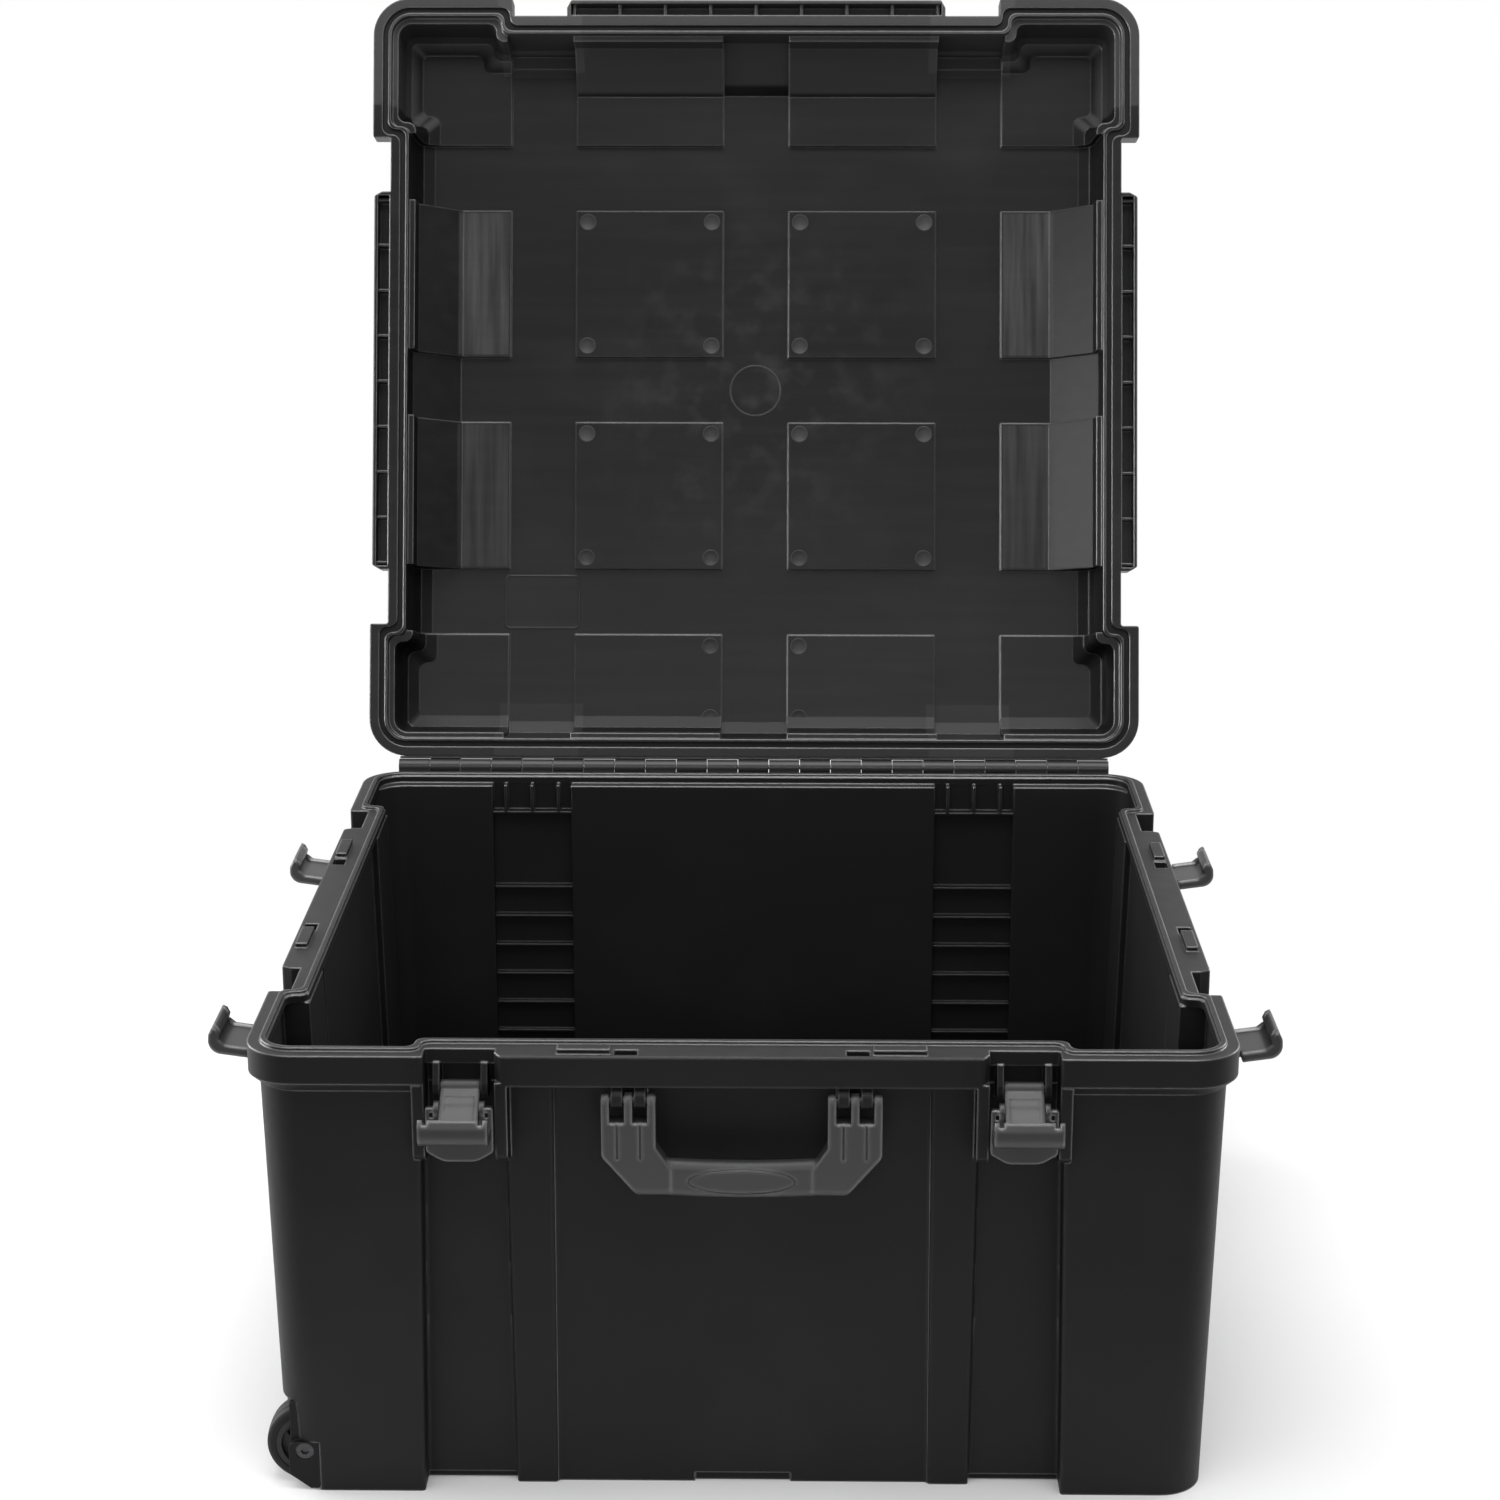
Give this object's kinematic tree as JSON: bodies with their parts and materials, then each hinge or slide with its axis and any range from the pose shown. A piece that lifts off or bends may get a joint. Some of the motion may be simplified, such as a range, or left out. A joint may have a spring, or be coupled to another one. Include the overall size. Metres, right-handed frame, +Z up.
{
  "type": "trolley case",
  "caption": "Large square black moulded trolley case with a hinged padded-pattern lid, draw latches, front carry handle, edge wheels and a pull handle under its base.",
  "frame": {"origin": "centre of the base, on the floor", "axes": "+X to the right as seen from the carry handle side, +Y to the hinge side, +Z up"},
  "size_m": [0.782, 0.9988, 1.0061],
  "materials": {
    "case_plastic": "fine textured black moulding",
    "hinge_plastic": "satin black",
    "latch_plastic": "satin black",
    "handle_plastic": "matte black",
    "fitting_plastic": "matte dark grey",
    "bracket_plastic": "matte black",
    "tyre_rubber": "matte black rubber",
    "seal_rubber": "soft black rubber",
    "tube_aluminium": "drawn, satin",
    "fastener_steel": "blackened steel"
  },
  "bodies": {
    "tub": {"tub_shell": "case_plastic", "hinge_leaf_tub": "hinge_plastic", "hinge_rod": "fastener_steel", "hinge_screws_tub": "fastener_steel", "latch_hinge_pins": "fastener_steel", "handle_pins": "fastener_steel", "wheel_bracket_front": "bracket_plastic", "wheel_bracket_back": "bracket_plastic", "wheel_axle_front": "fastener_steel", "wheel_axle_back": "fastener_steel", "trolley_outer_tube_front": "tube_aluminium", "trolley_outer_tube_back": "tube_aluminium", "tube_clamps": "fitting_plastic", "clamp_screws": "fastener_steel"},
    "lid": {"lid_shell": "case_plastic", "lid_gasket": "seal_rubber", "hinge_leaf_lid": "hinge_plastic", "hinge_screws_lid": "fastener_steel"},
    "jaw_front_left": {"jaw_front_left": "latch_plastic", "lever_pin_front_left": "fastener_steel"},
    "lever_front_left": {"lever_front_left": "latch_plastic"},
    "jaw_front_right": {"jaw_front_right": "latch_plastic", "lever_pin_front_right": "fastener_steel"},
    "lever_front_right": {"lever_front_right": "latch_plastic"},
    "jaw_right_front": {"jaw_right_front": "latch_plastic", "lever_pin_right_front": "fastener_steel"},
    "lever_right_front": {"lever_right_front": "latch_plastic"},
    "jaw_right_back": {"jaw_right_back": "latch_plastic", "lever_pin_right_back": "fastener_steel"},
    "lever_right_back": {"lever_right_back": "latch_plastic"},
    "jaw_left_back": {"jaw_left_back": "latch_plastic", "lever_pin_left_back": "fastener_steel"},
    "lever_left_back": {"lever_left_back": "latch_plastic"},
    "jaw_left_front": {"jaw_left_front": "latch_plastic", "lever_pin_left_front": "fastener_steel"},
    "lever_left_front": {"lever_left_front": "latch_plastic"},
    "carry_handle": {"carry_handle": "handle_plastic"},
    "wheel_front": {"wheel_tyre_front": "tyre_rubber", "wheel_hub_front": "fitting_plastic"},
    "wheel_back": {"wheel_tyre_back": "tyre_rubber", "wheel_hub_back": "fitting_plastic"},
    "trolley": {"trolley_inner_tube_front": "tube_aluminium", "trolley_inner_tube_back": "tube_aluminium", "trolley_grip": "fitting_plastic", "grip_cover": "fitting_plastic", "button_spring": "fastener_steel"},
    "button": {"release_button": "fitting_plastic"}
  },
  "joints": [
    {"name": "lid_hinge", "type": "hinge", "parent": "tub", "child": "lid", "pos_m": [0, 0.351, 0.3445], "axis": [1, 0, 0], "range_deg": [0, 107.5]},
    {"name": "jaw_front_left_hinge", "type": "hinge", "parent": "tub", "child": "jaw_front_left", "pos_m": [-0.195, -0.3265, 0.3145], "axis": [-1, 0, 0], "range_deg": [0, 103]},
    {"name": "lever_front_left_hinge", "type": "hinge", "parent": "jaw_front_left", "child": "lever_front_left", "pos_m": [-0.195, -0.33914, 0.30249], "axis": [-1, 0, 0], "range_deg": [-103, 0]},
    {"name": "jaw_front_right_hinge", "type": "hinge", "parent": "tub", "child": "jaw_front_right", "pos_m": [0.195, -0.3265, 0.3145], "axis": [-1, 0, 0], "range_deg": [0, 103]},
    {"name": "lever_front_right_hinge", "type": "hinge", "parent": "jaw_front_right", "child": "lever_front_right", "pos_m": [0.195, -0.33914, 0.30249], "axis": [-1, 0, 0], "range_deg": [-103, 0]},
    {"name": "jaw_right_front_hinge", "type": "hinge", "parent": "tub", "child": "jaw_right_front", "pos_m": [0.3295, -0.1912, 0.3145], "axis": [0, -1, 0], "range_deg": [0, 103]},
    {"name": "lever_right_front_hinge", "type": "hinge", "parent": "jaw_right_front", "child": "lever_right_front", "pos_m": [0.34214, -0.1912, 0.30249], "axis": [0, -1, 0], "range_deg": [-103, 0]},
    {"name": "jaw_right_back_hinge", "type": "hinge", "parent": "tub", "child": "jaw_right_back", "pos_m": [0.3295, 0.1988, 0.3145], "axis": [0, -1, 0], "range_deg": [0, 103]},
    {"name": "lever_right_back_hinge", "type": "hinge", "parent": "jaw_right_back", "child": "lever_right_back", "pos_m": [0.34214, 0.1988, 0.30249], "axis": [0, -1, 0], "range_deg": [-103, 0]},
    {"name": "jaw_left_back_hinge", "type": "hinge", "parent": "tub", "child": "jaw_left_back", "pos_m": [-0.3295, 0.1988, 0.3145], "axis": [0, 1, 0], "range_deg": [0, 103]},
    {"name": "lever_left_back_hinge", "type": "hinge", "parent": "jaw_left_back", "child": "lever_left_back", "pos_m": [-0.34214, 0.1988, 0.30249], "axis": [0, 1, 0], "range_deg": [-103, 0]},
    {"name": "jaw_left_front_hinge", "type": "hinge", "parent": "tub", "child": "jaw_left_front", "pos_m": [-0.3295, -0.1912, 0.3145], "axis": [0, 1, 0], "range_deg": [0, 103]},
    {"name": "lever_left_front_hinge", "type": "hinge", "parent": "jaw_left_front", "child": "lever_left_front", "pos_m": [-0.34214, -0.1912, 0.30249], "axis": [0, 1, 0], "range_deg": [-103, 0]},
    {"name": "carry_handle_hinge", "type": "hinge", "parent": "tub", "child": "carry_handle", "pos_m": [0, -0.337, 0.309], "axis": [-1, 0, 0], "range_deg": [0, 90]},
    {"name": "wheel_front_spin", "type": "hinge", "parent": "tub", "child": "wheel_front", "pos_m": [-0.3147, -0.3022, 0.0305], "axis": [0, 1, 0], "continuous": true},
    {"name": "wheel_back_spin", "type": "hinge", "parent": "tub", "child": "wheel_back", "pos_m": [-0.3147, 0.3022, 0.0305], "axis": [0, 1, 0], "continuous": true},
    {"name": "trolley_slide", "type": "slide", "parent": "tub", "child": "trolley", "axis": [1, 0, 0], "range_m": [0, 0.42]},
    {"name": "button_press", "type": "slide", "parent": "trolley", "child": "button", "axis": [0, 0, -1], "range_m": [0, 0.004], "stiffness_N_per_m": 400, "springref_m": -0.002, "deforming": ["button_spring"]}
  ],
  "couplings": [
    {"joint": "lever_front_left_hinge", "follows": "jaw_front_left_hinge", "ratio": -1},
    {"joint": "lever_front_right_hinge", "follows": "jaw_front_right_hinge", "ratio": -1},
    {"joint": "lever_right_front_hinge", "follows": "jaw_right_front_hinge", "ratio": -1},
    {"joint": "lever_right_back_hinge", "follows": "jaw_right_back_hinge", "ratio": -1},
    {"joint": "lever_left_back_hinge", "follows": "jaw_left_back_hinge", "ratio": -1},
    {"joint": "lever_left_front_hinge", "follows": "jaw_left_front_hinge", "ratio": -1}
  ]
}
